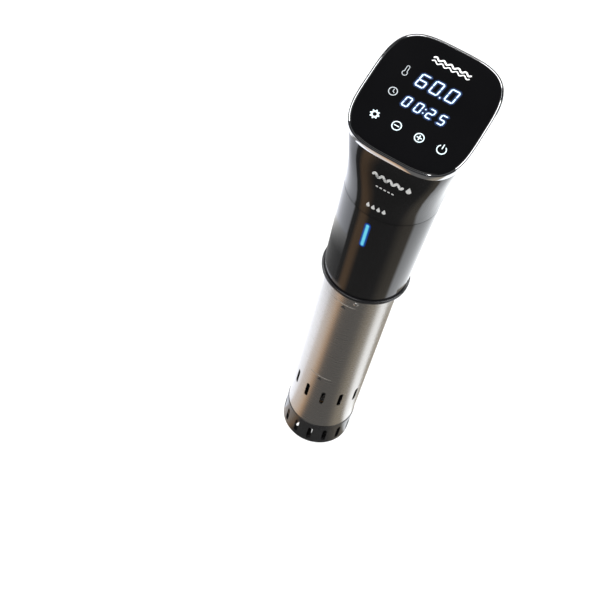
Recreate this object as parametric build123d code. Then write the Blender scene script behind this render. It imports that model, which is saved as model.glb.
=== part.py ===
"""Sous vide circulator: a stick with a tilted touch head, a black body, a steel sleeve and a rear clip.

Millimetres. The origin is the centre of the flat foot, +Z runs up the stick and -Y is its front.
Each function makes one piece where it lies, and build() writes one STEP file for each.
"""
from build123d import *
import math
import os

# Steel sleeve and foot
SLEEVE_R = 28.0
SLEEVE_WALL = 0.8
SLEEVE_BORE = SLEEVE_R - SLEEVE_WALL
CAP_TOP = 26.0
CAP_WALL = 2.0
CAP_SPIGOT = 8.0
SLEEVE_TOP = 208.6
MAX_LINE_Z = 186.0
MIN_LINE_Z = 92.0
DIMPLE_Z = 191.0
DIMPLE_ANGLE = 287.0

# Black body between its trim ring and the seam under the head
RING_Z = 200.0
RING_H = 3.2
RING_R = 33.6
BODY_Z = RING_Z + RING_H
BODY_R = 32.0
SEAM_Z = 290.0
SEAM_R = 34.6
BODY_WALL = 2.2

# Head: a circle at the seam that grows into a tilted rounded square
PANEL_TILT = 22.2
PANEL_Y = 8.6
PANEL_Z = 363.0
RIM_X = 43.5
RIM_Y = 46.8
RIM_POWER = 3.6
BEZEL_H = 5.0
BEZEL_LIP = 1.3
GLASS_SEAT = 1.4
GLASS_PROUD = 0.5
GLASS_GAP = 0.2
SEAT_GAP = 0.06
HEAD_INSET = 0.8
HEAD_WALL = 2.4
LEAN_SHARE = 0.85
BOARD_SHARE = 0.9
BOARD_LEDGE = 1.2
BOARD_T = 1.6

# Touch keys and display, in the panel's own plane
KEY_PITCH = 16.6
KEY_ROW = -23.7
DISPLAY_W, DISPLAY_H, DISPLAY_T = 46.0, 34.0, 5.6
DISPLAY_AT = 4.5

# Light window on the front of the body
LIGHT_W, LIGHT_H = 4.8, 24.5
LIGHT_Z = 270.6

# Bulkhead between the wet sleeve and the dry body
PLUG_BOTTOM = 194.0
FLANGE_Z = 209.0
FLANGE_T = 3.0
FLANGE_R = 29.4
FLANGE_TOP = FLANGE_Z + FLANGE_T
PLUG_FLOOR = PLUG_BOTTOM + 3.0
PLUG_R = 26.8
LEDGE_T = 2.0

# Drive line
SHAFT_R = 2.5
BUSH_BORE = SHAFT_R + 0.05
COLUMN_R, COLUMN_BORE = 6.5, 4.2
COLUMN_FOOT = 32.0
MOTOR_Z = 230.0
MOTOR_H = 42.0
MOTOR_R = 17.0
MOTOR_WALL = 1.2
PLATE_T = 2.0
STANDOFF_RING = 20.0
STANDOFF_ANGLES = (90, 210, 330)
FAN_Z = 276.0
FAN_H = 7.0
IMPELLER_Z = 9.0
IMPELLER_H = 10.0
IMPELLER_R = 19.0
SHAFT_TOP = FAN_Z + FAN_H + 1.0

# Heater and probes
HEATER_R = 3.2
HEATER_X = 7.0
HEATER_Y = 14.0
HEATER_FOOT = 52.0
BRACE_Z = 96.0
BRACE_R = 26.4
PROBE_R = 2.0
PROBE_Y = -19.0
LEVEL_R = 1.5
LEVEL_X, LEVEL_Y = 19.0, 5.0
CUTOUT_X, CUTOUT_Y = 14.0, -1.0

# Boards in the head
BOSS_RING = 27.6
SHELL_ANGLES = (90, 210, 330)
FLANGE_ANGLES = (30, 150, 270)
BOSS_TOP = SEAM_Z + 7.0
BOARD_Z = 298.0
POST_RING, POST_R = 24.5, 2.0
POST_ANGLES = (30, 150, 240, 300)
POWER_R = 30.6

# Rear clip
BRACKET_SCREWS_Z = (217.5, 236.5)
PIN_Y = 44.0
PIN_Z = 226.0
PIN_R = 1.75
EYE_R = 5.0
ARM_HALF = 8.4
ARM_T = 3.0
EAR_X = 9.0
EAR_T = 3.0
PAD_GAP = 0.4
PAD_T = 3.0
PAD_Z = (148.0, 172.0)
SPRING_WIRE = 0.7
SPRING_R = 4.0
SPRING_HALF = 4.0

# Cord gland in the back of the head
GLAND_Z = 338.0
GLAND_R = 6.0
GLAND_BORE = 3.6
GLAND_Y = (38.0, 60.0)
GLAND_COLLAR_Y = 41.2

CUT = 0.5                     # overshoot of every cutting tool
BASE = (Align.CENTER, Align.CENTER, Align.MIN)
FRONT = Plane.XZ              # its normal is -Y


def disc(radius, low, high):
    return Pos(0, 0, low) * Cylinder(radius, high - low, align=BASE)


def ring(outer, inner, low, high):
    return disc(outer, low, high) - disc(inner, low - CUT, high + CUT)


def rod(x, y, radius, low, high):
    return Pos(x, y, 0) * disc(radius, low, high)


def block(x_range, y_range, z_range):
    size = [high - low for low, high in (x_range, y_range, z_range)]
    middle = [(low + high) / 2 for low, high in (x_range, y_range, z_range)]
    return Pos(*middle) * Box(*size)


def around(count, start=0.0):
    """Angles in degrees of pieces spaced evenly round the stick."""
    return [start + 360.0 * i / count for i in range(count)]


def group(shapes):
    """Several separate solids that share one node."""
    return Compound(children=[s for shape in shapes for s in shape.solids()])


# ---------------------------------------------------------------- head geometry
def panel_plane(offset=0.0):
    """The plane of the rim of the head, moved along its own normal."""
    tilt = math.radians(PANEL_TILT)
    plane = Plane(origin=(0, PANEL_Y, PANEL_Z), x_dir=(1, 0, 0), z_dir=(0, -math.sin(tilt), math.cos(tilt)))
    return plane.offset(offset)


def rounded_square(half_x, half_y, power, plane, points=16):
    """A superellipse in a plane: power 2 is an ellipse, and a higher power is squarer."""
    outline = []
    for i in range(points):
        angle = 2 * math.pi * i / points
        c, s = math.cos(angle), math.sin(angle)
        radius = (abs(c / half_x) ** power + abs(s / half_y) ** power) ** (-1 / power)
        outline.append((radius * c, radius * s))
    return plane * make_face(Spline(*outline, periodic=True))


def rim_slab(inset, low, high):
    """A slab with the rim's outline drawn in by an inset, between two offsets from the panel's plane."""
    outline = rounded_square(RIM_X - inset, RIM_Y - inset, RIM_POWER, panel_plane(low))
    return extrude(outline, amount=high - low, dir=panel_plane().z_dir)


def head_plane(share):
    """The plane of the head's outline between the seam (share 0) and the underside of the bezel (share 1).

    It leans over to the panel's own tilt on the way up, and stays parallel to the panel from there.
    """
    top = panel_plane(-BEZEL_H - SEAT_GAP).origin
    lean = math.radians(PANEL_TILT * min(1, share / LEAN_SHARE))
    return Plane(
        origin=(0, top.Y * share ** 1.42, SEAM_Z + (top.Z - SEAM_Z) * share),
        x_dir=(1, 0, 0),
        z_dir=(0, -math.sin(lean), math.cos(lean)),
    )


def head_section(share, wall, lift=0.0):
    """The head's outline at a share of its height, inside a wall of a thickness."""
    flare = share ** 1.6
    half_x = SEAM_R + (RIM_X - HEAD_INSET - SEAM_R) * flare - wall
    half_y = SEAM_R + (RIM_Y - HEAD_INSET - SEAM_R) * flare - wall
    power = 2 + (RIM_POWER - 2) * share ** 1.3
    return rounded_square(half_x, half_y, power, head_plane(share).offset(lift))


def head_solid(wall):
    return loft([head_section(share, wall) for share in (0, 0.3, 0.6, LEAN_SHARE, 1)])


def board_slab(inset, low, high):
    """A slab parallel to the panel, with the head's outline where the display board lies, less an inset."""
    return extrude(head_section(BOARD_SHARE, inset, low), amount=high - low)


def board_bottom():
    """The underside of the display board, as an offset from the panel's plane."""
    return panel_plane().to_local_coords(head_plane(BOARD_SHARE).origin).Z + BOARD_LEDGE


# ---------------------------------------------------------------- outer shells
def wall_boss(angle, low, high, bore):
    """A screw boss with a web that reaches into the wall beside the seam."""
    boss = rod(BOSS_RING, 0, 3.2, low, high)
    boss += block((BOSS_RING, SEAM_R - BODY_WALL / 2), (-1.4, 1.4), (low, high))
    return Rot(0, 0, angle) * (boss - rod(BOSS_RING, 0, bore, low - CUT, high + CUT))


def head_shell():
    shell = head_solid(0) - head_solid(HEAD_WALL)
    shell += board_slab(HEAD_WALL / 2, 0, BOARD_LEDGE) - board_slab(HEAD_WALL + 4.6, -CUT, BOARD_LEDGE + CUT)
    for angle in SHELL_ANGLES:
        shell += wall_boss(angle, SEAM_Z, BOSS_TOP, 1.25)
    return shell - gland_body()


def along_y(x, z, radius, low, high):
    """A cylinder from front to back."""
    return Pos(x, low, z) * Rot(-90, 0, 0) * Cylinder(radius, high - low, align=BASE)


def along_x(y, z, radius, low, high):
    """A cylinder from side to side."""
    return Pos(low, y, z) * Rot(0, 90, 0) * Cylinder(radius, high - low, align=BASE)


def body_cone(wall):
    height = SEAM_Z - BODY_Z
    return Pos(0, 0, BODY_Z) * Cone(BODY_R - wall, SEAM_R - wall, height, align=BASE)


def light_slot(clearance):
    """The upright rounded slot of the light window, as a solid that runs through the wall."""
    width, height = LIGHT_W + 2 * clearance, LIGHT_H + 2 * clearance
    face = FRONT.offset(SEAM_R - 8) * SlotOverall(height, width, rotation=90)
    return Pos(0, 0, LIGHT_Z) * extrude(face, amount=12)


def body_shell():
    shell = body_cone(0) - body_cone(BODY_WALL)
    shell += ring(BODY_R - 1, 26.0, FLANGE_TOP, FLANGE_TOP + LEDGE_T)
    for angle in SHELL_ANGLES:
        shell += wall_boss(angle, SEAM_Z - 9, SEAM_Z, 1.5)
    for angle in FLANGE_ANGLES:
        shell -= Rot(0, 0, angle) * rod(BOSS_RING, 0, 1.2, FLANGE_TOP - CUT, FLANGE_TOP + 5)
    # The seam shows as a fine groove, and the joint with the trim ring as another
    shell -= ring(SEAM_R + 2, SEAM_R - 0.35, SEAM_Z - 0.5, SEAM_Z + CUT)
    shell -= ring(BODY_R + 2, BODY_R - 0.5, BODY_Z - CUT, BODY_Z + 0.6)
    shell -= light_slot(0.05)
    for z in BRACKET_SCREWS_Z:
        shell -= along_y(0, z, 1.3, 24, 40)
    return shell


def base_ring():
    rim = ring(RING_R, SLEEVE_R + 0.3, RING_Z, RING_Z + RING_H)
    outer_edges = [edge for edge in rim.edges().filter_by(GeomType.CIRCLE) if edge.radius > RING_R - 0.1]
    rim = fillet(outer_edges, 1.1)
    skirt = ring(BODY_R - BODY_WALL - 0.1, SLEEVE_R + 0.3, RING_Z + RING_H - CUT, RING_Z + RING_H + 4)
    return rim + skirt


def top_edges(slab):
    """The edges of the slab's outermost flat face."""
    return slab.faces().sort_by(lambda f: f.center().dot(panel_plane().z_dir))[-1].edges()


def bezel_ring():
    rim = rim_slab(0, -BEZEL_H, 0)
    rim = chamfer(top_edges(rim), 0.8)
    rim -= rim_slab(BEZEL_LIP, -GLASS_SEAT, CUT)
    return rim - rim_slab(BEZEL_LIP + 2.4, -BEZEL_H - CUT, CUT)


def display_glass():
    plate = rim_slab(BEZEL_LIP + GLASS_GAP, SEAT_GAP - GLASS_SEAT, GLASS_PROUD)
    return chamfer(top_edges(plate), 0.45)


def light_window():
    lens = light_slot(0) & (body_cone(-0.25) - body_cone(BODY_WALL + 1.0))
    return lens & block((-6, 6), (-40, -20), (LIGHT_Z - 15, LIGHT_Z + 15))


def gland_body():
    """The cord gland without its bore: an inner flange, a neck in the wall and a collar outside."""
    low, high = GLAND_Y
    body = along_y(0, GLAND_Z, GLAND_R, low, high)
    body += along_y(0, GLAND_Z, GLAND_R + 2.0, low, low + 2.0)
    return body + along_y(0, GLAND_Z, GLAND_R + 2.2, GLAND_COLLAR_Y, GLAND_COLLAR_Y + 5.0)


def cord_gland():
    low, high = GLAND_Y
    gland = gland_body()
    for y in (high - 5.6, high - 3.2):
        gland -= along_y(0, GLAND_Z, 20, y, y + 1.0) - along_y(0, GLAND_Z, GLAND_R - 1.0, y - 1, y + 2)
    return gland - along_y(0, GLAND_Z, GLAND_BORE, low - CUT, high + CUT)


# ---------------------------------------------------------------- behind the panel
def on_board(shape, u, v):
    """Stands a shape drawn on the XY plane on the display board, at (u, v) from the panel's middle."""
    return panel_plane(board_bottom() + BOARD_T) * Pos(u, v, 0) * shape


def display_board():
    board = board_slab(HEAD_WALL + 2.4, BOARD_LEDGE, BOARD_LEDGE + BOARD_T)
    return board - on_board(Cylinder(2.2, 8), 0, -34)


def led_display():
    body = on_board(Box(DISPLAY_W, DISPLAY_H, DISPLAY_T, align=BASE), 0, DISPLAY_AT)
    return fillet(body.edges().filter_by(lambda e: abs(e.length - DISPLAY_T) < 0.01), 1.0)


def touch_pads():
    """Conductive foam posts between the display board and the glass, one behind each key."""
    pad = Cylinder(4.2, -GLASS_SEAT - 0.1 - board_bottom() - BOARD_T, align=BASE)
    return group([on_board(pad, KEY_PITCH * key, KEY_ROW) for key in (-1.5, -0.5, 0.5, 1.5)])


def power_board():
    board = disc(POWER_R, BOARD_Z, BOARD_Z + BOARD_T)
    for angle in POST_ANGLES:
        board -= Rot(0, 0, angle) * rod(POST_RING, 0, 1.1, BOARD_Z - CUT, BOARD_Z + 3)
    return board


def board_posts():
    """Threaded posts that carry the power board above the fan."""
    post = Pos(POST_RING, 0, 0) * ring(POST_R, 1.05, MOTOR_Z, BOARD_Z)
    return group([Rot(0, 0, angle) * post for angle in POST_ANGLES])


def board_screws():
    one = Pos(POST_RING, 0, BOARD_Z + BOARD_T) * Rot(180, 0, 0) * screw(0.95, 2.0, 1.5, 5.0)
    return group([Rot(0, 0, angle) * one for angle in POST_ANGLES])


def board_height(height):
    top = BOARD_Z + BOARD_T
    return (top, top + height)


def transformer():
    core = block((-19, -2), (-10, 10), board_height(16))
    winding = block((-17, -5), (-12, 14), (BOARD_Z + BOARD_T + 3, BOARD_Z + BOARD_T + 13))
    return core + winding


def relay():
    return fillet(block((3, 19), (-14, -2), board_height(15)).edges().filter_by(Axis.Z), 0.8)


def filter_capacitors():
    low, high = board_height(18)
    return group([
        fillet(rod(x, y, 5, low, high).edges().sort_by(Axis.Z)[-1], 0.8) for x, y in ((6, 6), (17.5, 6))
    ])


def terminal_block():
    body = block((-9, 9), (17, 25), board_height(10))
    for x in (-6, 0, 6):
        body -= rod(x, 21, 1.9, BOARD_Z + BOARD_T + 6, BOARD_Z + BOARD_T + 11)
        body -= along_y(x, BOARD_Z + BOARD_T + 3.4, 1.4, 22, 26)
    return body


def ribbon_cable():
    """Flat cable from the power board up to the display board."""
    foot = BOARD_Z + BOARD_T
    route = FilletPolyline((-21.5, foot), (-21.5, 320.0), (-14.0, 332.0), (-14.0, 350.0), radius=4.0)
    sheet = extrude(Plane.YZ * make_face(offset(route, 0.35, side=Side.BOTH)), amount=7, both=True)
    return sheet - disc(SEAM_R, foot - 3, foot) - board_slab(5, BOARD_LEDGE, 20)


def beeper():
    """Piezo sounder under the display board."""
    case = Cylinder(6.0, 5.0, align=BASE) - Cylinder(1.0, 2.0)
    return on_board(Pos(0, 0, -BOARD_T - 5.0) * case, -18, 20)


def indicator_led():
    strip = block((-4, 4), (-26.2, -25), (LIGHT_Z - 14, LIGHT_Z + 14))
    chips = [block((-1.4, 1.4), (-27.4, -26.2), (z - 1.4, z + 1.4)) for z in (LIGHT_Z - 7, LIGHT_Z, LIGHT_Z + 7)]
    for chip in chips:
        strip += chip
    return strip


def seam_gasket():
    """Thin strip behind the seam, in three lengths between the screw bosses."""
    inner = SEAM_R - BODY_WALL
    strip = ring(inner - 0.5, inner - 1.7, SEAM_Z - 1.2, SEAM_Z + 1.2)
    for angle in SHELL_ANGLES:
        strip -= Rot(0, 0, angle) * rod(BOSS_RING + 2, 0, 5.2, SEAM_Z - 3, SEAM_Z + 3)
    return strip


def screw(radius, head_r, head_h, length):
    """A cross-recess pan-head screw, head down at z 0 and shank along +Z."""
    head = Pos(0, 0, -head_h) * Cylinder(head_r, head_h, align=BASE)
    head = fillet(head.edges().sort_by(Axis.Z)[0], head_h * 0.45)
    shank = Cylinder(radius, length, align=BASE)
    slot = Pos(0, 0, -head_h) * (Box(head_r * 1.2, 0.7, 1.2) + Box(0.7, head_r * 1.2, 1.2))
    return head + shank - slot


def shell_screws():
    one = Pos(BOSS_RING, 0, SEAM_Z - 9) * screw(1.2, 2.6, 2.0, 15)
    return group([Rot(0, 0, angle) * one for angle in SHELL_ANGLES])


# ---------------------------------------------------------------- drive line
def motor_housing():
    can = ring(MOTOR_R, MOTOR_R - MOTOR_WALL, MOTOR_Z, MOTOR_Z + MOTOR_H)
    for low in (MOTOR_Z, MOTOR_Z + MOTOR_H - MOTOR_WALL):
        can += ring(MOTOR_R, 5.0, low, low + MOTOR_WALL)
    vents = [
        Rot(0, 0, angle) * block((10, 13.5), (-2, 2), (MOTOR_Z + MOTOR_H - 3, MOTOR_Z + MOTOR_H + 1))
        for angle in around(6)
    ]
    for vent in vents:
        can -= vent
    return can


def motor_stator():
    stack = ring(MOTOR_R - MOTOR_WALL, 12.0, MOTOR_Z + 8, MOTOR_Z + 34)
    for angle in around(6, 30):
        stack -= Rot(0, 0, angle) * block((11, 13.6), (-1.5, 1.5), (MOTOR_Z + 7, MOTOR_Z + 35))
    return stack


def motor_bearings():
    ends = (MOTOR_Z - 1.0, MOTOR_Z + MOTOR_H - 4.0)
    return group([ring(5.0, BUSH_BORE, low, low + 5.0) for low in ends])


def motor_plate():
    plate = ring(POST_RING + POST_R + 0.5, 5.6, MOTOR_Z - PLATE_T, MOTOR_Z)
    for angle in STANDOFF_ANGLES:
        plate -= Rot(0, 0, angle) * rod(STANDOFF_RING, 0, 1.6, MOTOR_Z - 4, MOTOR_Z + 1)
        plate -= Rot(0, 0, angle + 60) * rod(STANDOFF_RING - 2, 0, 3.6, MOTOR_Z - 4, MOTOR_Z + 1)
    return plate


def motor_standoffs():
    post = ring(2.8, 1.3, PLUG_FLOOR, MOTOR_Z - PLATE_T)
    return group([Rot(0, 0, angle) * Pos(STANDOFF_RING, 0, 0) * post for angle in STANDOFF_ANGLES])


def motor_screws():
    one = Pos(STANDOFF_RING, 0, MOTOR_Z) * Rot(180, 0, 0) * screw(1.25, 2.3, 2.0, 8)
    return group([Rot(0, 0, angle) * one for angle in STANDOFF_ANGLES])


def bladed_wheel(hub_r, tip_r, low, height, blades, pitch):
    """A hub with flat blades set at a pitch angle."""
    wheel = ring(hub_r, SHAFT_R, low, low + height)
    span = tip_r - hub_r + 1.0
    blade = Pos(hub_r - 1.0 + span / 2, 0, low + height / 2) * Rot(pitch, 0, 0) * Box(span, 1.2, height * 1.25)
    limits = ring(tip_r, SHAFT_R + 0.5, low + 0.4, low + height - 0.4)
    for angle in around(blades):
        wheel += (Rot(0, 0, angle) * blade) & limits
    return wheel


def motor_shaft():
    shaft = disc(SHAFT_R, IMPELLER_Z - 3.0, SHAFT_TOP)
    ends = [e for e in shaft.edges() if e.geom_type == GeomType.CIRCLE]
    return chamfer(ends, 0.4)


def motor_rotor():
    return ring(11.4, SHAFT_R, MOTOR_Z + 8, MOTOR_Z + 34)


def cooling_fan():
    return bladed_wheel(6.0, 21.0, FAN_Z, FAN_H, 7, 38)


def impeller():
    return bladed_wheel(5.0, IMPELLER_R, IMPELLER_Z, IMPELLER_H, 4, 32)


def impeller_nut():
    nut = Pos(0, 0, IMPELLER_Z - 3.0) * extrude(RegularPolygon(3.6, 6), amount=2.6)
    return nut - disc(SHAFT_R, IMPELLER_Z - 4, IMPELLER_Z)


# ---------------------------------------------------------------- bulkhead, heater and probes
def bulkhead():
    """A cup that closes the top of the sleeve, with a hub for the shaft and a flange under the body's ledge."""
    plug = disc(PLUG_R, PLUG_BOTTOM, FLANGE_Z) + disc(FLANGE_R, FLANGE_Z, FLANGE_TOP)
    plug -= ring(23.6, 9.0, PLUG_FLOOR, FLANGE_TOP + 2)
    plug -= ring(PLUG_R + 1, PLUG_R - 1.4, PLUG_BOTTOM + 4.0, PLUG_BOTTOM + 6.6)
    plug -= disc(COLUMN_R, PLUG_BOTTOM - CUT, PLUG_BOTTOM + 6.0)
    plug -= disc(COLUMN_BORE, PLUG_BOTTOM, FLANGE_TOP)
    plug -= disc(7.0, FLANGE_TOP - 6.0, FLANGE_TOP + CUT)
    for x, y, radius in wet_rods():
        plug -= rod(x, y, radius, PLUG_BOTTOM - CUT, PLUG_FLOOR + CUT)
    for angle in FLANGE_ANGLES:
        plug -= Rot(0, 0, angle) * rod(BOSS_RING, 0, 1.05, FLANGE_Z - CUT, FLANGE_TOP + CUT)
    return plug


def wet_rods():
    """Everything that passes through the bulkhead beside the shaft, as (x, y, radius)."""
    legs = [(x, y, HEATER_R) for x in (-HEATER_X, HEATER_X) for y in (-HEATER_Y, HEATER_Y)]
    return legs + [(0, PROBE_Y, PROBE_R), (-LEVEL_X, LEVEL_Y, LEVEL_R), (LEVEL_X, LEVEL_Y, LEVEL_R)]


def bulkhead_screws():
    one = Pos(BOSS_RING, 0, FLANGE_TOP + LEDGE_T) * Rot(180, 0, 0) * screw(1.05, 2.0, 1.6, 4.8)
    return group([Rot(0, 0, angle) * one for angle in FLANGE_ANGLES])


def shaft_seal():
    return ring(7.0, BUSH_BORE, FLANGE_TOP - 6.0, FLANGE_TOP)


def sleeve_seal():
    """O-ring in the bulkhead's groove."""
    return Pos(0, 0, PLUG_BOTTOM + 5.3) * Torus(PLUG_R - 0.65, 0.75)


def shaft_column():
    return ring(COLUMN_R, COLUMN_BORE, COLUMN_FOOT, PLUG_BOTTOM + 6.0)


def lower_bush():
    return ring(COLUMN_BORE, BUSH_BORE, COLUMN_FOOT, COLUMN_FOOT + 10) + ring(
        COLUMN_R, BUSH_BORE, COLUMN_FOOT - 2, COLUMN_FOOT
    )


def heating_element():
    """Two steel hairpins, each with two legs and a bend at the foot."""
    pins = []
    bend_z = HEATER_FOOT + HEATER_X
    for y in (-HEATER_Y, HEATER_Y):
        bend = Pos(0, y, bend_z) * Rot(90, 0, 0) * Torus(HEATER_X, HEATER_R)
        pin = bend & block((-15, 15), (y - 8, y + 8), (HEATER_FOOT - 5, bend_z))
        for x in (-HEATER_X, HEATER_X):
            pin += rod(x, y, HEATER_R, bend_z, PLUG_FLOOR + 12)
            pin += rod(x, y, 0.9, PLUG_FLOOR + 12, PLUG_FLOOR + 18)
        pins.append(pin)
    return group(pins)


def heater_brace():
    """Thin plate that keeps the legs, the column and the probes apart."""
    plate = ring(BRACE_R, COLUMN_R, BRACE_Z, BRACE_Z + 1.0)
    for x, y, radius in wet_rods():
        plate -= rod(x, y, radius, BRACE_Z - 1, BRACE_Z + 2)
    for angle in (42, 90, 138, 205, 235, 305, 335):
        plate -= Rot(0, 0, angle) * rod(22.6, 0, 2.4, BRACE_Z - 1, BRACE_Z + 2)
    return plate


def temperature_probe():
    probe = rod(0, PROBE_Y, PROBE_R, 72, PLUG_FLOOR + 8)
    return fillet(probe.edges().sort_by(Axis.Z)[0], PROBE_R * 0.9)


def level_probes():
    low_rod = rod(-LEVEL_X, LEVEL_Y, LEVEL_R, MIN_LINE_Z - 10, PLUG_FLOOR + 8)
    high_rod = rod(LEVEL_X, LEVEL_Y, LEVEL_R, MAX_LINE_Z - 2, PLUG_FLOOR + 8)
    return group([low_rod, high_rod])


def thermal_cutout():
    """Round over-heat switch on the floor of the bulkhead, with two tabs."""
    low = PLUG_FLOOR
    switch = rod(CUTOUT_X, CUTOUT_Y, 4.4, low, low + 5.0)
    for y in (CUTOUT_Y - 2.6, CUTOUT_Y + 2.6):
        switch += block((CUTOUT_X - 1.5, CUTOUT_X + 1.5), (y - 0.3, y + 0.3), (low + 5.0, low + 9.0))
    return switch


# ---------------------------------------------------------------- removable sleeve and foot
def steel_sleeve():
    sleeve = ring(SLEEVE_R, SLEEVE_BORE, CAP_TOP, SLEEVE_TOP)
    sleeve = chamfer(sleeve.edges().group_by(Axis.Z)[-1], 0.25)
    for angle in around(12, 15):
        slot = Plane.YZ * SlotOverall(16, 3.4, rotation=90)
        sleeve -= Rot(0, 0, angle) * Pos(20, 0, 66) * extrude(slot, amount=12)
    for z in (MAX_LINE_Z, MIN_LINE_Z):
        groove = ring(SLEEVE_R + 1, SLEEVE_R - 0.2, z - 0.35, z + 0.35)
        sleeve -= groove & block((-9, 9), (-30, 0), (z - 2, z + 2))
    # A pressed pip that lines the sleeve up with the body
    pip = Rot(0, 0, DIMPLE_ANGLE) * Pos(SLEEVE_R - 1.2, 0, DIMPLE_Z) * Sphere(2.2)
    return sleeve + (pip - disc(SLEEVE_R - 0.3, DIMPLE_Z - 3, DIMPLE_Z + 3))


def end_cap():
    cap = disc(SLEEVE_R + 0.4, 0, CAP_TOP)
    cap = fillet(cap.edges().sort_by(Axis.Z)[0], 2.0)
    cap += disc(SLEEVE_BORE - 0.05, CAP_TOP - CUT, CAP_TOP + CAP_SPIGOT)
    inner = SLEEVE_BORE - CAP_WALL
    cap -= disc(inner, CAP_WALL + 0.4, CAP_TOP + CAP_SPIGOT + CUT)
    for angle in around(14):
        window = Plane.YZ * SlotOverall(15, 3.8, rotation=90)
        cap -= Rot(0, 0, angle) * Pos(20, 0, 13) * extrude(window, amount=12)
    for angle in around(8, 22.5):
        slot = Pos(16, 0, -CUT) * extrude(SlotOverall(12, 3.6), amount=4)
        cap -= Rot(0, 0, angle) * slot
    return cap


# ---------------------------------------------------------------- rear clip
def clip_bracket():
    """A saddle on the back of the body with two ears for the hinge pin."""
    saddle = block((-EAR_X - EAR_T, EAR_X + EAR_T), (26, 37.4), (208.5, 243))
    saddle = fillet(saddle.edges().filter_by(Axis.Y), 2.5)
    saddle -= body_cone(0)
    for side in (-1, 1):
        low, high = sorted((side * EAR_X, side * (EAR_X + EAR_T)))
        profile = make_hull([
            *(Pos(PIN_Y, PIN_Z) * Circle(EYE_R + 0.6)).edges(),
            *Polyline((36.6, 212), (36.6, 240), (37.0, 240), (37.0, 212), close=True).edges(),
        ])
        ear = extrude(Plane.YZ.offset(low) * profile, amount=high - low)
        saddle += ear
    saddle -= along_x(PIN_Y, PIN_Z, PIN_R + 0.02, -20, 20)
    for z in BRACKET_SCREWS_Z:
        saddle -= along_y(0, z, 1.3, 26, 36.4)
    return saddle


def bracket_screws():
    screws = []
    for z in BRACKET_SCREWS_Z:
        inner_face = body_radius(z) - BODY_WALL
        screws.append(Pos(0, inner_face - 0.2, z) * Rot(-90, 0, 0) * screw(1.25, 2.4, 1.8, 5.6))
    return group(screws)


def body_radius(z):
    return BODY_R + (SEAM_R - BODY_R) * (z - BODY_Z) / (SEAM_Z - BODY_Z)


def clip_pin():
    pin = along_x(PIN_Y, PIN_Z, PIN_R, -EAR_X - EAR_T - 0.6, EAR_X + EAR_T + 0.6)
    ends = [e for e in pin.edges() if e.geom_type == GeomType.CIRCLE]
    return chamfer(ends, 0.3)


def clip_arm():
    """Thumb lever above the pin and a cranked jaw below it, as one moulded strip with two knuckles."""
    jaw_y = SLEEVE_R + PAD_GAP + PAD_T
    middle = [
        (53.2, 280.0), (50.4, 258.0), (47.2, 240.0), (45.8, PIN_Z), (45.4, 206.0), (44.6, 188.0),
        (jaw_y + 2.4, 176.0), (jaw_y + ARM_T / 2, 168.0), (jaw_y + ARM_T / 2, 152.0), (jaw_y + 3.2, 144.0),
    ]
    line = FilletPolyline(*middle, radius=5.0)
    strip = extrude(Plane.YZ * make_face(offset(line, ARM_T / 2, side=Side.BOTH)), amount=ARM_HALF, both=True)
    knuckle = along_x(PIN_Y, PIN_Z, EYE_R, -ARM_HALF, ARM_HALF)
    arm = strip + knuckle
    arm -= along_x(PIN_Y, PIN_Z, PIN_R + 0.06, -20, 20)
    notch_low, notch_high = SPRING_HALF + 0.8, 7.0
    arm -= block((-notch_low, notch_low), (PIN_Y - 9, PIN_Y + 0.2), (PIN_Z - notch_high, PIN_Z + notch_high))
    arm -= along_x(PIN_Y, PIN_Z, SPRING_R + 1.3, -notch_low, notch_low)
    ribs = [block((x - 0.8, x + 0.8), (46, 47.4), (196, 214)) for x in (-5, 0, 5)]
    for rib in ribs:
        arm += rib
    return arm


def clip_pad():
    """Ribbed rubber pad on the jaw, facing the sleeve."""
    front = SLEEVE_R + PAD_GAP
    low, high = PAD_Z
    pad = block((-ARM_HALF + 0.4, ARM_HALF - 0.4), (front + 0.8, front + PAD_T), (low + 5, high - 5))
    for i in range(5):
        z = low + 6.2 + i * 2.9
        pad += block((-ARM_HALF + 0.4, ARM_HALF - 0.4), (front, front + 1.0), (z - 0.7, z + 0.7))
    return pad


def clip_spring():
    """Torsion spring round the pin: a helix with one leg on the saddle and one behind the lever."""
    turns = 5
    pitch = 2 * SPRING_HALF / turns
    path = Helix(pitch, 2 * SPRING_HALF - 1.2, SPRING_R)
    start = path @ 0
    wire = sweep(Plane(start, z_dir=path % 0) * Circle(SPRING_WIRE), path=path, is_frenet=True)
    return Pos(-SPRING_HALF + 0.6, PIN_Y, PIN_Z) * Rot(0, 90, 0) * wire


PIECES = (
    head_shell, body_shell, base_ring, bezel_ring, display_glass, light_window, cord_gland,
    display_board, led_display, touch_pads, power_board, transformer, relay, filter_capacitors,
    terminal_block, board_posts, board_screws, ribbon_cable, beeper, indicator_led, seam_gasket, shell_screws,
    motor_housing, motor_stator, motor_bearings, motor_plate, motor_standoffs, motor_screws,
    motor_shaft, motor_rotor, cooling_fan, impeller, impeller_nut,
    bulkhead, bulkhead_screws, shaft_seal, sleeve_seal, shaft_column, lower_bush,
    heating_element, heater_brace, temperature_probe, level_probes, thermal_cutout,
    steel_sleeve, end_cap,
    clip_bracket, bracket_screws, clip_pin, clip_arm, clip_pad, clip_spring,
)


def build():
    os.makedirs("parts", exist_ok=True)
    for piece in PIECES:
        export_step(piece(), f"parts/{piece.__name__}.step")


build()
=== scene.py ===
"""Looks of the sous vide circulator round its CAD frame: camera, light, materials, rim, glass and marks."""
import math

import bmesh
import bpy
from mathutils import Matrix, Vector
from mathutils.bvhtree import BVHTree


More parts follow.
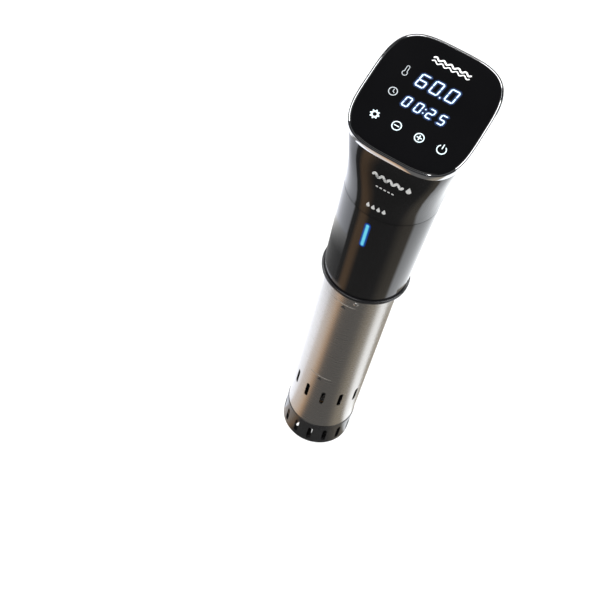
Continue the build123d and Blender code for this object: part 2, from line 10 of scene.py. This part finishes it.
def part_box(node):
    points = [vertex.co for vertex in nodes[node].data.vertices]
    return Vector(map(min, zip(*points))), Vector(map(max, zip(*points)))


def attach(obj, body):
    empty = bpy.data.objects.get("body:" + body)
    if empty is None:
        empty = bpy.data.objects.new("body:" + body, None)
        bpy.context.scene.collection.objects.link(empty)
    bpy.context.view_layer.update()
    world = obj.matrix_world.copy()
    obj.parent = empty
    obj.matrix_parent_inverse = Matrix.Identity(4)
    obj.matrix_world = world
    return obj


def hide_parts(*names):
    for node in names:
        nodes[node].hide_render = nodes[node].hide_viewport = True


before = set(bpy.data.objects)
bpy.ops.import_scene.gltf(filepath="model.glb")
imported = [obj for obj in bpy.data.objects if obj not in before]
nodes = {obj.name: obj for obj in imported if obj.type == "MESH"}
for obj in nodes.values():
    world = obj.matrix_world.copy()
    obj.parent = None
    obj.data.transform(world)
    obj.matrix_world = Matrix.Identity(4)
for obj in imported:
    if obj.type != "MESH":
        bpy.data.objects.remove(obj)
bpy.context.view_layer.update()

# ---------------------------------------------------------------- driving values, in metres and degrees
CAMERA_AT = Vector((0.1534, -0.6193, 0.9208))
CAMERA_AZIMUTH = 17.56
CAMERA_ELEVATION = 50.65
CAMERA_ROLL = 16.09
CAMERA_LENS = 77.7             # millimetres, before a sensor that is 36 wide

PANEL_TILT = 22.2              # the panel's rise towards the back
RIM_X, RIM_Y, RIM_POWER = 0.0435, 0.0468, 3.6     # half sides and squareness of the rim's outline
GLASS_PROUD = 0.0005           # height of the glass's flat over the level that the two profiles count from
SHARP_ANGLE = 21               # edges of the rim and the glass that turn more than this stay crisp

HAIR = 0.00004                 # height of marks over the glass; the layers of a digit lie half of it apart
INK_LIFT = 0.00006             # height of the printing over the black walls
ETCH_LIFT = 0.00015            # height of the etched marks over the sleeve
IN_FRONT = -0.2                # a level of y that is clear of the whole object

FLOOR_Z = -0.216               # just under the sleeve when it is pulled all the way off
FLOOR_REACH = 6.0
SKY_STRENGTH = 0.15

# painted reflection cards: outer edges, and heights, as the upper one of two hides the lower
CARD_ROUND_R, CARD_ROUND_Z = 0.55, 0.0006
CARD_FAR_R = 5.9               # card_far goes on from the edge of card_round, at the same height
CARD_RIGHT_R, CARD_RIGHT_Z = 0.19, 0.0012
CARD_LEFT_R, CARD_LEFT_Z = 0.243, 0.0014
CARD_LEFT_STEP, CARD_LEFT_RISE = 0.005, 0.0001    # how much shorter and higher each next step of card_left is
CARD_LOW_R, CARD_LOW_Z = 0.186, 0.0024            # the steps of card_left begin at the edge of card_low
CARD_HOLE_R = 0.001            # card_low and card_right stay open by this much round the axis


# ---------------------------------------------------------------- camera, lights, reflection cards and floor
def make_camera():
    azimuth, elevation, roll = (math.radians(a) for a in (CAMERA_AZIMUTH, CAMERA_ELEVATION, CAMERA_ROLL))
    back = Vector((
        math.sin(azimuth) * math.cos(elevation),
        -math.cos(azimuth) * math.cos(elevation),
        math.sin(elevation),
    ))
    level_right = (-back).cross(Vector((0, 0, 1))).normalized()
    level_up = level_right.cross(-back)
    right = math.cos(roll) * level_right + math.sin(roll) * level_up
    up = -math.sin(roll) * level_right + math.cos(roll) * level_up
    camera = bpy.data.objects.new("camera", bpy.data.cameras.new("camera"))
    camera.matrix_world = Matrix.Translation(CAMERA_AT) @ Matrix((right, up, back)).transposed().to_4x4()
    camera.data.sensor_width = 36
    camera.data.lens = CAMERA_LENS
    camera.data.clip_start = 0.01
    camera.data.clip_end = 20
    bpy.context.scene.collection.objects.link(camera)
    bpy.context.scene.camera = camera


def softbox(name, at, aim, size, power, colour=(1, 1, 1)):
    light = bpy.data.lights.new(name, "AREA")
    light.shape = "RECTANGLE"
    light.size, light.size_y = size
    light.energy = power
    light.color = colour
    box = bpy.data.objects.new(name, light)
    box.location = at
    box.rotation_euler = (Vector(aim) - Vector(at)).to_track_quat("-Z", "Y").to_euler()
    bpy.context.scene.collection.objects.link(box)


def mirror_card(name, outline, stops, height):
    """A glowing card over the level of the foot that only reflections see: a painted reflection of light and
    shade.

    Its colour runs round the object's axis through the stops: 0.5 is towards the camera, 0.25 is to the left
    of the image and 0.75 to the right.
    """
    mesh = bpy.data.meshes.new(name)
    mesh.from_pydata([(x, y, height) for x, y in outline], [], [range(len(outline))])
    card = bpy.data.objects.new(name, mesh)
    card.rotation_euler.z = math.radians(CAMERA_AZIMUTH - 90)
    bpy.context.scene.collection.objects.link(card)
    card.visible_camera = False
    card.visible_diffuse = False
    card.visible_shadow = False
    card.visible_transmission = False
    paint = bpy.data.materials.new(name)
    paint.use_nodes = True
    tree = paint.node_tree
    tree.nodes.clear()
    out = tree.nodes.new("ShaderNodeOutputMaterial")
    lamp = tree.nodes.new("ShaderNodeEmission")
    place = tree.nodes.new("ShaderNodeTexCoord")
    bearing = tree.nodes.new("ShaderNodeTexGradient")
    bearing.gradient_type = "RADIAL"
    ramp = tree.nodes.new("ShaderNodeValToRGB")
    fill_ramp(ramp, stops)
    tree.links.new(place.outputs["Object"], bearing.inputs["Vector"])
    tree.links.new(bearing.outputs["Fac"], ramp.inputs["Fac"])
    tree.links.new(ramp.outputs["Color"], lamp.inputs["Color"])
    tree.links.new(lamp.outputs["Emission"], out.inputs["Surface"])
    card.data.materials.append(paint)


def fill_ramp(ramp, stops):
    """Set a colour ramp's stops from (position, colour) pairs."""
    elements = ramp.color_ramp.elements
    for i, (at, colour) in enumerate(stops):
        stop = elements[i] if i < 2 else elements.new(at)
        stop.position = at
        stop.color = (*colour, 1)


def disc(radius, steps=96):
    angles = [2 * math.pi * i / steps for i in range(steps)]
    return [(radius * math.cos(a), radius * math.sin(a)) for a in angles]


def sector(inner, outer, start, stop, steps=40):
    """A ring sector between two angles in degrees, counted from the side towards the camera."""
    points = []
    for radius, order in ((outer, range(steps + 1)), (inner, range(steps, -1, -1))):
        for i in order:
            angle = math.radians(start + (stop - start) * i / steps)
            points.append((radius * math.cos(angle), radius * math.sin(angle)))
    return points


def even(colour):
    return [(0.0, colour), (1.0, colour)]


def make_cards():
    """Painted reflections: glowing cards for gloss and sleeve to mirror, pale to the sides and behind, dark
    in front and far off.
    """
    # painted reflection colours: bright to the sides and behind, dark in front, and tan and buff bands
    # between
    cool, pale, deep = (1.75, 1.8, 1.95), (1.9, 1.95, 2.0), (0.2, 0.195, 0.19)
    tan, buff = (0.95, 0.62, 0.38), (0.5, 0.45, 0.37)
    linen, sand = (1.2, 1.1, 1.05), (1.15, 0.95, 0.78)
    painted_reflection_round = [
        (0.0, cool), (0.28, cool), (0.293, deep), (0.32, deep), (0.35, tan), (0.375, tan),
        (0.41, deep), (0.58, deep), (0.64, buff), (0.69, buff), (0.715, pale), (1.0, pale),
    ]
    mirror_card("card_round", disc(CARD_ROUND_R), painted_reflection_round, CARD_ROUND_Z)
    mirror_card("card_far", sector(CARD_ROUND_R, CARD_FAR_R, -180, 180, 96), even(deep), CARD_ROUND_Z)
    mirror_card("card_right", sector(CARD_HOLE_R, CARD_RIGHT_R, 105, 180), even(buff), CARD_RIGHT_Z)
    # painted reflection: each next step of card_left is dimmer, so the mirrored band darkens towards its
    # inner edge
    for i, tone in enumerate((1.4, 1.1, 0.85, 0.62, 0.45, 0.32)):
        outline = sector(CARD_LOW_R, CARD_LEFT_R - CARD_LEFT_STEP * i, -180, -75)
        mirror_card(f"card_left_{i}", outline, even((tone, tone, tone)), CARD_LEFT_Z + CARD_LEFT_RISE * i)
    painted_reflection_beside_sleeve = [(0.0, linen), (0.31, linen), (0.345, sand), (0.375, tan), (0.405, deep)]
    mirror_card("card_low", sector(CARD_HOLE_R, CARD_LOW_R, -84, -32), painted_reflection_beside_sleeve, CARD_LOW_Z)


def make_world():
    """A faint even sky that falls dark overhead, where the touch panel mirrors it."""
    world = bpy.data.worlds.new("studio")
    world.use_nodes = True
    tree = world.node_tree
    tree.nodes["Background"].inputs["Strength"].default_value = SKY_STRENGTH
    place = tree.nodes.new("ShaderNodeTexCoord")
    split = tree.nodes.new("ShaderNodeSeparateXYZ")
    ramp = tree.nodes.new("ShaderNodeValToRGB")
    fill_ramp(ramp, [(0.7, (0.94, 0.97, 1.0)), (0.88, (0.3, 0.3, 0.32))])
    tree.links.new(place.outputs["Generated"], split.inputs["Vector"])
    tree.links.new(split.outputs["Z"], ramp.inputs["Fac"])
    tree.links.new(ramp.outputs["Color"], tree.nodes["Background"].inputs["Color"])
    bpy.context.scene.world = world


def make_stage():
    bpy.context.scene.view_settings.view_transform = "Standard"
    softbox("softbox_back", (-0.15, 1.25, 1.1), (0, 0.25, 0), (1.8, 0.7), 19)
    softbox("softbox_left", (-1.2, 0.1, 0.8), (-0.3, 0.05, 0), (0.9, 1.2), 15, (0.97, 0.985, 1.0))
    softbox("softbox_right", (1.15, 0.2, 0.95), (0.3, 0.15, 0), (0.9, 1.3), 16)
    softbox("softbox_front", (-0.15, -1.0, 1.35), (0, 0, 0.2), (1.2, 0.6), 9)
    corners = [(x * FLOOR_REACH, y * FLOOR_REACH, 0) for x, y in ((-1, -1), (1, -1), (1, 1), (-1, 1))]
    mesh = bpy.data.meshes.new("floor")
    mesh.from_pydata(corners, [], [(0, 1, 2, 3)])
    floor = bpy.data.objects.new("floor", mesh)
    floor.location.z = FLOOR_Z
    bpy.context.scene.collection.objects.link(floor)
    paper = finish("floor_paper", (0.86, 0.86, 0.86), 0.75, vary=0.02, grain=40, specular=0.2)
    floor.data.materials.append(paper)


# ---------------------------------------------------------------- materials
GRAIN_DETAIL = 4
DRIFT_SCALE, DRIFT_DETAIL = 18, 3      # the broad noise that a surface's colour drifts with
BUMP_STRENGTH = 0.6
GLOW_SCALE, GLOW_DETAIL = 260, 2
GLOW_LOW = 0.88                        # brightness of a lit mark where its noise is lowest
SOCKETS = {"specular": "Specular IOR Level", "ior": "IOR", "anisotropic": "Anisotropic"}


def blank(name):
    """A new material, its node tree and its shader."""
    made = bpy.data.materials.new(name)
    made.use_nodes = True
    return made, made.node_tree, made.node_tree.nodes["Principled BSDF"]


def noise(tree, vector, scale, detail):
    """The factor of a noise texture over a vector."""
    cloud = tree.nodes.new("ShaderNodeTexNoise")
    cloud.inputs["Scale"].default_value = scale
    cloud.inputs["Detail"].default_value = detail
    tree.links.new(vector, cloud.inputs["Vector"])
    return cloud.outputs["Fac"]


def between(tree, factor, dark, light):
    """A colour that goes from dark to light with a factor."""
    tint = tree.nodes.new("ShaderNodeMix")
    tint.data_type = "RGBA"
    tint.inputs["A"].default_value = (*dark, 1)
    tint.inputs["B"].default_value = (*light, 1)
    tree.links.new(factor, tint.inputs["Factor"])
    return tint.outputs["Result"]


def finish(name, colour, roughness, vary, grain, metallic=0.0, bump=0.0, stretch=(1, 1, 1), wear=0.0,
           **sockets):
    """A moulded, cast or drawn surface with a fine bump of its grain.

    Colour and roughness drift by the share vary, and roughness by wear on top of that. The grain is the scale
    of the fine noise, which stretch draws out; sockets are plain values of the shader.
    """
    made, tree, shader = blank(name)
    shader.inputs["Metallic"].default_value = metallic
    place = tree.nodes.new("ShaderNodeTexCoord")
    mapping = tree.nodes.new("ShaderNodeMapping")
    mapping.inputs["Scale"].default_value = stretch
    tree.links.new(place.outputs["Object"], mapping.inputs["Vector"])
    fine = noise(tree, mapping.outputs["Vector"], grain, GRAIN_DETAIL)
    broad = noise(tree, place.outputs["Object"], DRIFT_SCALE, DRIFT_DETAIL)
    dark = [c * (1 - vary) for c in colour]
    light = [min(1, c * (1 + vary)) for c in colour]
    tree.links.new(between(tree, broad, dark, light), shader.inputs["Base Color"])
    sheen = tree.nodes.new("ShaderNodeMapRange")
    sheen.inputs["To Min"].default_value = max(0.01, roughness * (1 - vary) - wear)
    sheen.inputs["To Max"].default_value = min(1, roughness * (1 + vary) + wear)
    tree.links.new(fine, sheen.inputs["Value"])
    tree.links.new(sheen.outputs["Result"], shader.inputs["Roughness"])
    if bump:
        height = tree.nodes.new("ShaderNodeBump")
        height.inputs["Strength"].default_value = BUMP_STRENGTH
        height.inputs["Distance"].default_value = bump
        tree.links.new(fine, height.inputs["Height"])
        tree.links.new(height.outputs["Normal"], shader.inputs["Normal"])
    for key, value in sockets.items():
        shader.inputs[SOCKETS[key]].default_value = value
    return made


def glowing(name, colour):
    """A mark that glows by emission, a little uneven: a lit mark's colour comes from behind, while on print
    the glow is painted light.
    """
    made, tree, shader = blank(name)
    place = tree.nodes.new("ShaderNodeTexCoord")
    cloud = noise(tree, place.outputs["Object"], GLOW_SCALE, GLOW_DETAIL)
    tint = between(tree, cloud, [c * GLOW_LOW for c in colour], colour)
    tree.links.new(tint, shader.inputs["Base Color"])
    tree.links.new(tint, shader.inputs["Emission Color"])
    shader.inputs["Emission Strength"].default_value = 1.0
    shader.inputs["Roughness"].default_value = 0.35
    return made


def lit_slot(name, node):
    """A light bar behind a blue lens: brightest along its middle, deep blue at its rim."""
    low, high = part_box(node)
    half_w = (high.x - low.x) / 2
    half_h = (high.z - low.z) / 2
    made, tree, shader = blank(name)
    place = tree.nodes.new("ShaderNodeTexCoord")
    split = tree.nodes.new("ShaderNodeSeparateXYZ")
    tree.links.new(place.outputs["Object"], split.inputs["Vector"])

    def maths(operation, first, second=0):
        step = tree.nodes.new("ShaderNodeMath")
        step.operation = operation
        for socket, value in zip(step.inputs, (first, second)):
            if isinstance(value, (int, float)):
                socket.default_value = value
            else:
                tree.links.new(value, socket)
        return step.outputs[0]

    rise = maths("ABSOLUTE", maths("SUBTRACT", split.outputs["Z"], (low.z + high.z) / 2))
    past = maths("MAXIMUM", maths("SUBTRACT", rise, half_h - half_w))
    away = maths("SQRT", maths("ADD", maths("POWER", split.outputs["X"], 2), maths("POWER", past, 2)))
    ramp = tree.nodes.new("ShaderNodeValToRGB")
    fill_ramp(ramp, [
        (0.0, (0.1, 0.4, 0.5)),
        (0.36, (0.075, 0.35, 0.46)),
        (0.55, (0.009, 0.09, 0.3)),
        (0.8, (0.003, 0.02, 0.13)),
    ])
    tree.links.new(maths("DIVIDE", away, half_w), ramp.inputs["Fac"])
    tree.links.new(ramp.outputs["Color"], shader.inputs["Emission Color"])
    tree.links.new(ramp.outputs["Color"], shader.inputs["Base Color"])
    shader.inputs["Emission Strength"].default_value = 1.0
    shader.inputs["Roughness"].default_value = 0.2
    shader.inputs["IOR"].default_value = 1.3
    return made


def dress(names, material):
    for name in names:
        nodes[name].data.materials.clear()
        nodes[name].data.materials.append(material)


def dress_nodes():
    gloss = finish("piano_black", (0.004, 0.004, 0.0045), 0.05, vary=0.25, grain=70, ior=1.46, wear=0.012)
    dress(["head_shell", "body_shell"], gloss)
    trim = finish("satin_black", (0.014, 0.014, 0.015), 0.22, vary=0.15, grain=900, bump=0.00002)
    dress(["base_ring", "end_cap"], trim)
    sleeve = finish("brushed_sleeve", (0.40, 0.385, 0.365), 0.27, vary=0.06, grain=90, metallic=1.0,
                    bump=0.00003, stretch=(1, 1, 40), anisotropic=0.5)
    dress(["steel_sleeve"], sleeve)
    steel = finish("drawn_steel", (0.5, 0.5, 0.49), 0.25, vary=0.06, grain=500, metallic=1.0, bump=0.00001)
    dress([
        "clip_pin", "clip_spring", "motor_shaft", "temperature_probe", "level_probes", "heating_element",
        "shaft_column", "heater_brace", "impeller_nut", "motor_plate", "motor_standoffs", "board_posts",
    ], steel)
    zinc = finish("zinc_plate", (0.46, 0.48, 0.52), 0.3, vary=0.12, grain=300, metallic=1.0)
    dress([
        "bracket_screws", "board_screws", "shell_screws", "bulkhead_screws", "motor_screws", "motor_housing",
    ], zinc)
    plastic = finish("grained_plastic", (0.016, 0.016, 0.017), 0.42, vary=0.12, grain=1400, bump=0.00004)
    dress([
        "clip_arm", "clip_bracket", "cooling_fan", "impeller", "bulkhead", "relay", "beeper", "led_display",
    ], plastic)
    rubber = finish("rubber", (0.012, 0.012, 0.012), 0.6, vary=0.15, grain=1800, bump=0.00004)
    dress(["cord_gland", "clip_pad", "sleeve_seal", "seam_gasket", "shaft_seal", "touch_pads"], rubber)
    board = finish("solder_mask", (0.015, 0.16, 0.07), 0.3, vary=0.2, grain=500)
    dress(["display_board", "power_board", "indicator_led"], board)
    white = finish("white_plastic", (0.72, 0.72, 0.69), 0.4, vary=0.05, grain=900, bump=0.00002)
    dress(["terminal_block", "ribbon_cable", "thermal_cutout"], white)
    jacket = finish("shrink_sleeve", (0.03, 0.05, 0.2), 0.3, vary=0.15, grain=300)
    dress(["filter_capacitors"], jacket)
    stack = finish("laminations", (0.13, 0.11, 0.1), 0.45, vary=0.2, grain=120,
                   bump=0.00003, stretch=(1, 1, 30))
    dress(["transformer", "motor_stator", "motor_rotor"], stack)
    bronze = finish("sintered_bronze", (0.55, 0.36, 0.17), 0.38, vary=0.15, grain=900, metallic=1.0)
    dress(["motor_bearings", "lower_bush"], bronze)
    dress(["light_window"], lit_slot("blue_lens", "light_window"))


# ---------------------------------------------------------------- rim and glass
ACROSS = Vector((1, 0, 0))
UPHILL = Vector((0, math.cos(math.radians(PANEL_TILT)), math.sin(math.radians(PANEL_TILT))))
OUTWARD = ACROSS.cross(UPHILL)

# (inset from the rim's outline, height) in millimetres: the rim's profile is a closed loop, the glass's is
# closed off by a flat at each end
RIM_PROFILE = [
    (0, -5.0), (0, -2.2), (0.22, -0.64), (0.36, -0.5), (1.05, -0.47), (1.4, -0.24), (1.44, -0.26),
    (1.44, -1.4), (3.7, -1.4), (3.7, -5.0),
]
GLASS_PROFILE = [
    (1.48, -1.3), (1.48, -0.3), (1.58, -0.12), (1.78, 0.02),
    (2.2, 0.18), (2.9, 0.32), (3.8, 0.43), (5.0, 0.5),
]


def panel_frame():
    """The matrix that takes (across, uphill, outward) to the frame, from the middle of the glass's top."""
    corners = [v.co for v in nodes["display_glass"].data.vertices]
    middle = Vector((0, 0, 0))
    for axis in (ACROSS, UPHILL):
        reach = [axis.dot(c) for c in corners]
        middle += axis * (min(reach) + max(reach)) / 2
    middle += OUTWARD * max(OUTWARD.dot(c) for c in corners)
    return Matrix.Translation(middle) @ Matrix((ACROSS, UPHILL, OUTWARD)).transposed().to_4x4()


def rim_outline(inset, steps=176):
    """The rounded square of the rim drawn in by an inset, as (across, uphill) points in metres."""
    half_x, half_y = RIM_X - inset, RIM_Y - inset
    points = []
    for i in range(steps):
        angle = 2 * math.pi * i / steps
        c, s = math.cos(angle), math.sin(angle)
        radius = (abs(c / half_x) ** RIM_POWER + abs(s / half_y) ** RIM_POWER) ** (-1 / RIM_POWER)
        points.append((radius * c, radius * s))
    return points


def make_object(name, shape, material):
    """An object made of a bmesh, which is freed."""
    mesh = bpy.data.meshes.new(name)
    shape.to_mesh(mesh)
    shape.free()
    piece = bpy.data.objects.new(name, mesh)
    bpy.context.scene.collection.objects.link(piece)
    piece.data.materials.append(material)
    return piece


def turned(name, profile, closed, material, node):
    """A profile carried round the rim's outline, in place of a CAD node."""
    shape = bmesh.new()
    rows = []
    for inset, height in profile:
        level = height / 1000 - GLASS_PROUD
        rows.append([shape.verts.new((x, y, level)) for x, y in rim_outline(inset / 1000)])
    pairs = list(zip(rows, rows[1:]))
    if closed:
        pairs.append((rows[-1], rows[0]))
    for lower, upper in pairs:
        for i in range(len(lower)):
            k = (i + 1) % len(lower)
            shape.faces.new((lower[i], lower[k], upper[k], upper[i]))
    if not closed:
        shape.faces.new(rows[0][::-1])
        shape.faces.new(rows[-1])
    piece = make_object(name, shape, material)
    piece.data.shade_smooth()
    piece.data.set_sharp_from_angle(angle=math.radians(SHARP_ANGLE))
    piece.matrix_world = panel_frame()
    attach(piece, "housing")
    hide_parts(node)


def make_rim():
    chrome = finish("chrome", (0.52, 0.52, 0.53), 0.07, vary=0.04, grain=220, metallic=1.0, wear=0.015)
    glass = finish("panel_glass", (0.0055, 0.0055, 0.0062), 0.03, vary=0.3, grain=30, ior=1.27)
    turned("rim", RIM_PROFILE, True, chrome, "bezel_ring")
    turned("glass", GLASS_PROFILE, False, glass, "display_glass")


# ---------------------------------------------------------------- strokes, in millimetres
def bar(start, end, width, steps=6):
    """A stroke from start to end with round ends."""
    a, b = Vector(start), Vector(end)
    along = (b - a).normalized() if (b - a).length else Vector((1, 0))
    side = Vector((-along.y, along.x))
    half = width / 2
    points = []
    for centre, facing in ((b, 1), (a, -1)):
        for i in range(steps + 1):
            angle = math.pi / 2 - math.pi * i / steps
            spoke = facing * (math.cos(angle) * along + math.sin(angle) * side)
            points.append(tuple(centre + half * spoke))
    return points


def arc(centre, radius, width, start=0.0, sweep=360.0, steps=48):
    """A round stroke, as a row of four-sided pieces."""
    pieces = []
    for i in range(steps):
        angles = [math.radians(start + sweep * (i + k) / steps) for k in (0, 1)]
        quad = []
        for r, order in ((radius + width / 2, angles), (radius - width / 2, angles[::-1])):
            quad += [(centre[0] + r * math.cos(a), centre[1] + r * math.sin(a)) for a in order]
        pieces.append(quad)
    return pieces


def wave(left, right, level, height, humps, width, steps=14):
    """A rounded wavy stroke from left to right about a level, as a row of short bars."""
    count = humps * steps
    line = []
    for i in range(count + 1):
        share = i / count
        rise = height / 2 * math.sin(2 * math.pi * humps * share)
        line.append(Vector((left + (right - left) * share, level + rise)))
    return [bar(a, b, width, steps=4) for a, b in zip(line, line[1:])]


def drop(centre, radius, tall, steps=14):
    """A water drop: a round belly that is open at its top by 120 degrees, where its point stands."""
    points = []
    for i in range(steps + 1):
        angle = math.radians(150 + 240 * i / steps)
        points.append((centre[0] + radius * math.cos(angle), centre[1] + radius * math.sin(angle)))
    return points + [(centre[0], centre[1] + tall)]


# ---------------------------------------------------------------- marks on the glass and on the walls
def mark(name, polygons, material, lift=HAIR):
    """A flat mark on the glass: polygons of (across, uphill) points in millimetres."""
    shape = bmesh.new()
    for polygon in polygons:
        shape.faces.new([shape.verts.new((x / 1000, y / 1000, lift)) for x, y in polygon])
    bmesh.ops.triangulate(shape, faces=shape.faces[:])
    piece = make_object(name, shape, material)
    piece.matrix_world = panel_frame()
    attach(piece, "housing")


def wrap(name, polygons, node, material, lift=INK_LIFT):
    """A mark on a front wall: polygons of (across, height) in millimetres, laid on the node along +Y."""
    mesh = nodes[node].data
    wall = BVHTree.FromPolygons([v.co for v in mesh.vertices], [p.vertices for p in mesh.polygons])
    shape = bmesh.new()
    for polygon in polygons:
        ring = []
        for x, z in polygon:
            hit = wall.ray_cast(Vector((x / 1000, IN_FRONT, z / 1000)), Vector((0, 1, 0)))[0]
            ring.append(shape.verts.new(hit + Vector((0, -lift, 0))))
        shape.faces.new(ring)
    bmesh.ops.triangulate(shape, faces=shape.faces[:])
    piece = make_object(name, shape, material)
    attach(piece, "sleeve" if node == "steel_sleeve" else "housing")


# ---------------------------------------------------------------- digits, icons, keys and printing
SEGMENTS = {
    "0": "abcdef", "1": "bc", "2": "abged", "3": "abgcd", "4": "fgbc",
    "5": "afgcd", "6": "afgedc", "7": "abc", "8": "abcdefg", "9": "abcdfg",
}
DIGIT_SLANT = 8                # degrees
SEGMENT_GAP = 0.12             # share of the stroke that stays open at each end of a segment

# name, (digit, left edge) pairs, foot, (width, height, stroke) and middles of the dots, in millimetres
READINGS = (
    ("temperature", (("6", -13.2), ("0", -2.9), ("0", 8.6)), 8.3, (5.8, 9.4, 0.95), [(5.6, 8.0)]),
    (
        "time", (("0", -13.5), ("0", -4.8), ("2", 3.9), ("5", 12.6)), -8.8, (3.9, 7.0, 0.85),
        [(1.7, -7.2), (2.2, -4.0)],
    ),
)

# places and sizes of the icons and keys, in millimetres on the glass
THERMOMETER_AT = (-23.0, 14.4)
CLOCK_AT = (-22.8, -3.3)
KEY_ROW = -23.7
KEY_SETTINGS, KEY_LESS, KEY_MORE, KEY_POWER = -24.6, -8.2, 8.6, 25.0
KEY_RADIUS, KEY_STROKE = 3.1, 0.75
SIGN_REACH = 1.6               # half length of the strokes of less and more

WATER_LEVELS = (186.0, 92.0)   # heights of the etched marks over the foot, in millimetres


def digit(character, left, foot, width, height, stroke, spill):
    """The lit segments of one leaning seven-segment digit; with spill they run together, for the glow."""
    lean = math.tan(math.radians(DIGIT_SLANT))
    middle = height / 2
    ends = {
        "a": ((0, height), (width, height)),
        "b": ((width, height), (width, middle)),
        "c": ((width, middle), (width, 0)),
        "d": ((0, 0), (width, 0)),
        "e": ((0, middle), (0, 0)),
        "f": ((0, height), (0, middle)),
        "g": ((0, middle), (width, middle)),
    }
    pieces = []
    for segment in SEGMENTS[character]:
        a, b = (Vector(p) for p in ends[segment])
        along = (b - a).normalized()
        side = Vector((-along.y, along.x)) * stroke / 2
        gap = -stroke / 2 if spill else stroke * SEGMENT_GAP
        a, b = a + along * gap, b - along * gap
        tip = along * stroke / 2
        outline = [a, a + tip + side, b - tip + side, b, b - tip - side, a + tip - side]
        pieces.append([(left + p.x + lean * p.y, foot + p.y) for p in outline])
    return pieces


def make_display():
    """The two readings, each with three wider and fainter layers of glow under it."""
    layers = (
        ("", 0, 4, glowing("lit_digits", (0.66, 0.83, 1.0))),
        ("_glow", 0.45, 3, glowing("lit_digits_glow", (0.045, 0.09, 0.2))),
        ("_halo", 1.1, 2, glowing("lit_digits_halo", (0.014, 0.03, 0.075))),
        ("_haze", 2.2, 1, glowing("lit_digits_haze", (0.009, 0.018, 0.055))),
    )
    for name, characters, foot, (width, height, stroke), dots in READINGS:
        for kind, grow, level, material in layers:
            strokes = []
            for character, left in characters:
                strokes += digit(character, left, foot, width, height, stroke + grow, grow > 0)
            strokes += [bar(dot, dot, stroke * 1.1 + grow) for dot in dots]
            mark(f"digits_{name}{kind}", strokes, material, level * HAIR / 2)


def make_icons():
    """Thermometer, clock and the four touch keys: settings, less, more and power."""
    dim = glowing("lit_icon", (0.42, 0.45, 0.47))
    bright = glowing("lit_key", (0.62, 0.74, 0.78))
    u, v = THERMOMETER_AT
    stem = [bar((u + side, v - 0.9), (u + side, v + 2.8), 0.45) for side in (-0.95, 0.95)]
    bulb = arc((u, v - 2.2), 1.75, 0.5, 122, 296)
    mark("icon_thermometer", bulb + stem + arc((u, v + 2.8), 0.95, 0.45, 0, 180, 16), dim)
    u, v = CLOCK_AT
    hands = [bar((u, v), (u, v + 1.8), 0.5), bar((u, v), (u + 1.2, v - 0.7), 0.5)]
    mark("icon_clock", arc((u, v), 2.9, 0.6) + hands, dim)

    gear = (KEY_SETTINGS, KEY_ROW)
    teeth = []
    for i in range(8):
        spoke = Vector((math.cos(math.radians(45 * i)), math.sin(math.radians(45 * i))))
        teeth.append(bar(Vector(gear) + 2.2 * spoke, Vector(gear) + 2.9 * spoke, 1.05))
    mark("key_settings", arc(gear, 2.0, 1.15) + teeth, bright)
    for name, u in (("key_less", KEY_LESS), ("key_more", KEY_MORE)):
        sign = [bar((u - SIGN_REACH, KEY_ROW), (u + SIGN_REACH, KEY_ROW), KEY_STROKE)]
        if name == "key_more":
            sign.append(bar((u, KEY_ROW - SIGN_REACH), (u, KEY_ROW + SIGN_REACH), KEY_STROKE))
        mark(name, arc((u, KEY_ROW), KEY_RADIUS, KEY_STROKE) + sign, bright)
    stem = bar((KEY_POWER, KEY_ROW + 0.8), (KEY_POWER, KEY_ROW + 3.8), KEY_STROKE)
    mark("key_power", arc((KEY_POWER, KEY_ROW), KEY_RADIUS, KEY_STROKE, 125, 290) + [stem], bright)


def make_marks():
    """Plain marks of water and heat where the real one carries printing."""
    ink = finish("white_print", (0.82, 0.82, 0.8), 0.45, vary=0.04, grain=900)
    # the printed waves on the glass glow by emission: painted light, since print is no lamp
    lit = glowing("glowing_panel_print", (0.8, 0.8, 0.8))
    upper = wave(-12.0, 15.4, level=32.2, height=1.7, humps=5, width=1.15)
    lower = wave(-12.0, 15.4, level=29.5, height=1.7, humps=5, width=0.8)
    mark("mark_waves", upper + lower, lit)
    bold = wave(-8.2, 13.8, level=325.4, height=2.4, humps=4, width=1.9)
    wrap("mark_head_bold", bold + [drop((18.0, 324.4), radius=1.8, tall=3.8)], "head_shell", ink)
    dashes = [bar((x, 317.4), (x + 0.9, 317.4), 1.0) for x in (-3.2, -0.3, 2.6, 5.5, 8.4)]
    wrap("mark_head_fine", dashes, "head_shell", ink)
    drops = [drop((x, 298.2), radius=1.35, tall=3.1) for x in (-4.6, -0.6, 3.4, 7.4)]
    wrap("mark_drops", drops, "head_shell", ink)
    etch = finish("etched_mark", (0.05, 0.05, 0.05), 0.6, vary=0.1, grain=900)
    for level in WATER_LEVELS:
        arrow = [(-2.2, level - 4.4), (2.2, level - 4.4), (0, level - 1.2)]
        wrap(f"mark_level_{level:.0f}", [arrow], "steel_sleeve", etch, ETCH_LIFT)


make_camera()
make_world()
make_stage()
make_cards()
dress_nodes()
make_rim()
make_display()
make_icons()
make_marks()
